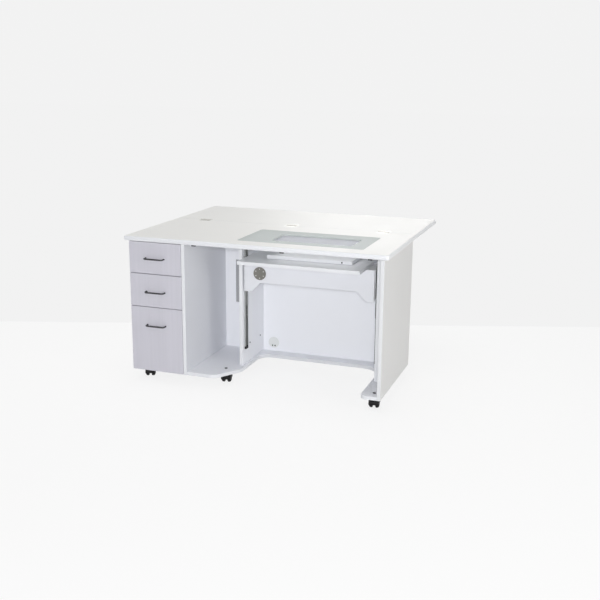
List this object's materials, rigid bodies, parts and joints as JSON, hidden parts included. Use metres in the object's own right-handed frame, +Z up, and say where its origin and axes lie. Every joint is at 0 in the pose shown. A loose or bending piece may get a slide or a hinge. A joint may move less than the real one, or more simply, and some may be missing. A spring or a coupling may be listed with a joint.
{
  "type": "folding sewing cutting table",
  "caption": "Free-standing white sewing and cutting table on casters with drawers, an open niche, a machine lift under a well in the top, and a rear leaf that folds over.",
  "frame": {"origin": "on the floor, under the middle of the open table's outline, handles included", "axes": "+Z up, +X to the user's right, the user stands on the -Y side"},
  "size_m": [1.4, 1.1434, 0.7843],
  "materials": {
    "white_laminate": "white melamine-faced board, satin",
    "drawer_laminate": "pale lilac-grey laminate with a faint upright grain",
    "drawer_board": "white drawer board",
    "handle_metal": "dark grey powder coat",
    "slide_steel": "zinc-plated steel",
    "white_paint": "white powder coat",
    "hinge_steel": "nickel-plated steel",
    "strut_paint": "gloss black",
    "insert_acrylic": "frosted acrylic sheet",
    "white_plastic": "moulded, satin",
    "grey_plastic": "moulded, satin",
    "black_rubber": "matt rubber",
    "caster_steel": "dark plated steel",
    "caster_plastic": "moulded black nylon",
    "wheel_plastic": "moulded black nylon with a worn tread"
  },
  "bodies": {
    "cabinet": {"worktop": "white_laminate", "well_insert": "insert_acrylic", "left_panel": "white_laminate", "partition": "white_laminate", "divider": "white_laminate", "inner_right_panel": "white_laminate", "right_panel": "white_laminate", "back_panel": "white_laminate", "drawer_floor": "white_laminate", "floor_panel": "white_laminate", "back_grommet": "white_plastic", "lift_channels": "slide_steel", "strut_cylinder": "strut_paint", "niche_bracket": "white_paint", "cabinet_screws": "hinge_steel", "rubber_buffers": "black_rubber", "drawer_runners": "slide_steel", "hinge_plates": "hinge_steel", "hinge_pins": "hinge_steel", "caster_mounts": "caster_steel"},
    "rear_leaf": {"rear_leaf": "white_laminate", "leaf_hinge_flaps": "hinge_steel"},
    "left_wing": {"left_wing": "white_laminate", "left_wing_hinges": "hinge_steel"},
    "right_wing": {"right_wing": "white_laminate", "right_wing_hinges": "hinge_steel"},
    "machine_lift": {"lift_board": "white_laminate", "machine_shelf": "white_laminate", "shelf_feet": "black_rubber", "shelf_screw": "black_rubber", "apron": "white_laminate", "apron_cap": "grey_plastic", "lift_brackets": "white_paint", "lift_rails": "slide_steel", "strut_rod": "hinge_steel"},
    "ball_cages": {"ball_cages": "slide_steel"},
    "top_drawer": {"top_drawer_front": "drawer_laminate", "top_drawer_box": "drawer_board", "top_drawer_handle": "handle_metal", "top_drawer_rails": "slide_steel"},
    "middle_drawer": {"middle_drawer_front": "drawer_laminate", "middle_drawer_box": "drawer_board", "middle_drawer_handle": "handle_metal", "middle_drawer_rails": "slide_steel"},
    "bottom_drawer": {"bottom_drawer_front": "drawer_laminate", "bottom_drawer_box": "drawer_board", "bottom_drawer_handle": "handle_metal", "bottom_drawer_rails": "slide_steel"},
    "caster_front_left": {"caster_hood_front_left": "caster_plastic"},
    "wheels_front_left": {"caster_wheels_front_left": "wheel_plastic"},
    "caster_niche": {"caster_hood_niche": "caster_plastic"},
    "wheels_niche": {"caster_wheels_niche": "wheel_plastic"},
    "caster_right": {"caster_hood_right": "caster_plastic"},
    "wheels_right": {"caster_wheels_right": "wheel_plastic"},
    "caster_rear_left": {"caster_hood_rear_left": "caster_plastic"},
    "wheels_rear_left": {"caster_wheels_rear_left": "wheel_plastic"},
    "caster_rear_middle": {"caster_hood_rear_middle": "caster_plastic"},
    "wheels_rear_middle": {"caster_wheels_rear_middle": "wheel_plastic"},
    "caster_rear_right": {"caster_hood_rear_right": "caster_plastic"},
    "wheels_rear_right": {"caster_wheels_rear_right": "wheel_plastic"}
  },
  "joints": [
    {"name": "leaf_fold", "type": "hinge", "parent": "cabinet", "child": "rear_leaf", "pos_m": [0, 0.05725, 0.7803], "axis": [1, 0, 0], "range_deg": [0, 180]},
    {"name": "left_wing_swing", "type": "hinge", "parent": "cabinet", "child": "left_wing", "pos_m": [-0.552, -0.00325, 0.1], "axis": [0, 0, 1], "range_deg": [-90, 0]},
    {"name": "right_wing_swing", "type": "hinge", "parent": "cabinet", "child": "right_wing", "pos_m": [0.552, -0.00325, 0.1], "axis": [0, 0, 1], "range_deg": [0, 90]},
    {"name": "lift_slide", "type": "slide", "parent": "cabinet", "child": "machine_lift", "axis": [0, 0, 1], "range_m": [-0.22, 0.07]},
    {"name": "ball_cage_slide", "type": "slide", "parent": "cabinet", "child": "ball_cages", "axis": [0, 0, 1], "range_m": [-0.11, 0.035]},
    {"name": "top_drawer_slide", "type": "slide", "parent": "cabinet", "child": "top_drawer", "axis": [0, -1, 0], "range_m": [0, 0.38]},
    {"name": "middle_drawer_slide", "type": "slide", "parent": "cabinet", "child": "middle_drawer", "axis": [0, -1, 0], "range_m": [0, 0.38]},
    {"name": "bottom_drawer_slide", "type": "slide", "parent": "cabinet", "child": "bottom_drawer", "axis": [0, -1, 0], "range_m": [0, 0.38]},
    {"name": "front_left_swivel", "type": "hinge", "parent": "cabinet", "child": "caster_front_left", "pos_m": [-0.619, -0.46125, 0.057], "axis": [0, 0, 1], "continuous": true},
    {"name": "front_left_roll", "type": "hinge", "parent": "caster_front_left", "child": "wheels_front_left", "pos_m": [-0.62379, -0.44809, 0.025], "axis": [0.9397, 0.342, 0], "continuous": true},
    {"name": "niche_swivel", "type": "hinge", "parent": "cabinet", "child": "caster_niche", "pos_m": [-0.196, -0.41025, 0.057], "axis": [0, 0, 1], "continuous": true},
    {"name": "niche_roll", "type": "hinge", "parent": "caster_niche", "child": "wheels_niche", "pos_m": [-0.19891, -0.39656, 0.025], "axis": [0.9781, 0.2079, 0], "continuous": true},
    {"name": "right_swivel", "type": "hinge", "parent": "cabinet", "child": "caster_right", "pos_m": [0.636, -0.50125, 0.057], "axis": [0, 0, 1], "continuous": true},
    {"name": "right_roll", "type": "hinge", "parent": "caster_right", "child": "wheels_right", "pos_m": [0.63454, -0.48733, 0.025], "axis": [0.9945, 0.1045, 0], "continuous": true},
    {"name": "rear_left_swivel", "type": "hinge", "parent": "cabinet", "child": "caster_rear_left", "pos_m": [-0.619, 0.02375, 0.057], "axis": [0, 0, 1], "continuous": true},
    {"name": "rear_left_roll", "type": "hinge", "parent": "caster_rear_left", "child": "wheels_rear_left", "pos_m": [-0.619, 0.03775, 0.025], "axis": [1, 0, 0], "continuous": true},
    {"name": "rear_middle_swivel", "type": "hinge", "parent": "cabinet", "child": "caster_rear_middle", "pos_m": [-0.196, 0.02375, 0.057], "axis": [0, 0, 1], "continuous": true},
    {"name": "rear_middle_roll", "type": "hinge", "parent": "caster_rear_middle", "child": "wheels_rear_middle", "pos_m": [-0.196, 0.03775, 0.025], "axis": [1, 0, 0], "continuous": true},
    {"name": "rear_right_swivel", "type": "hinge", "parent": "cabinet", "child": "caster_rear_right", "pos_m": [0.6, 0.02375, 0.057], "axis": [0, 0, 1], "continuous": true},
    {"name": "rear_right_roll", "type": "hinge", "parent": "caster_rear_right", "child": "wheels_rear_right", "pos_m": [0.6, 0.03775, 0.025], "axis": [1, 0, 0], "continuous": true}
  ],
  "couplings": [
    {"joint": "ball_cage_slide", "follows": "lift_slide", "ratio": 0.5}
  ]
}
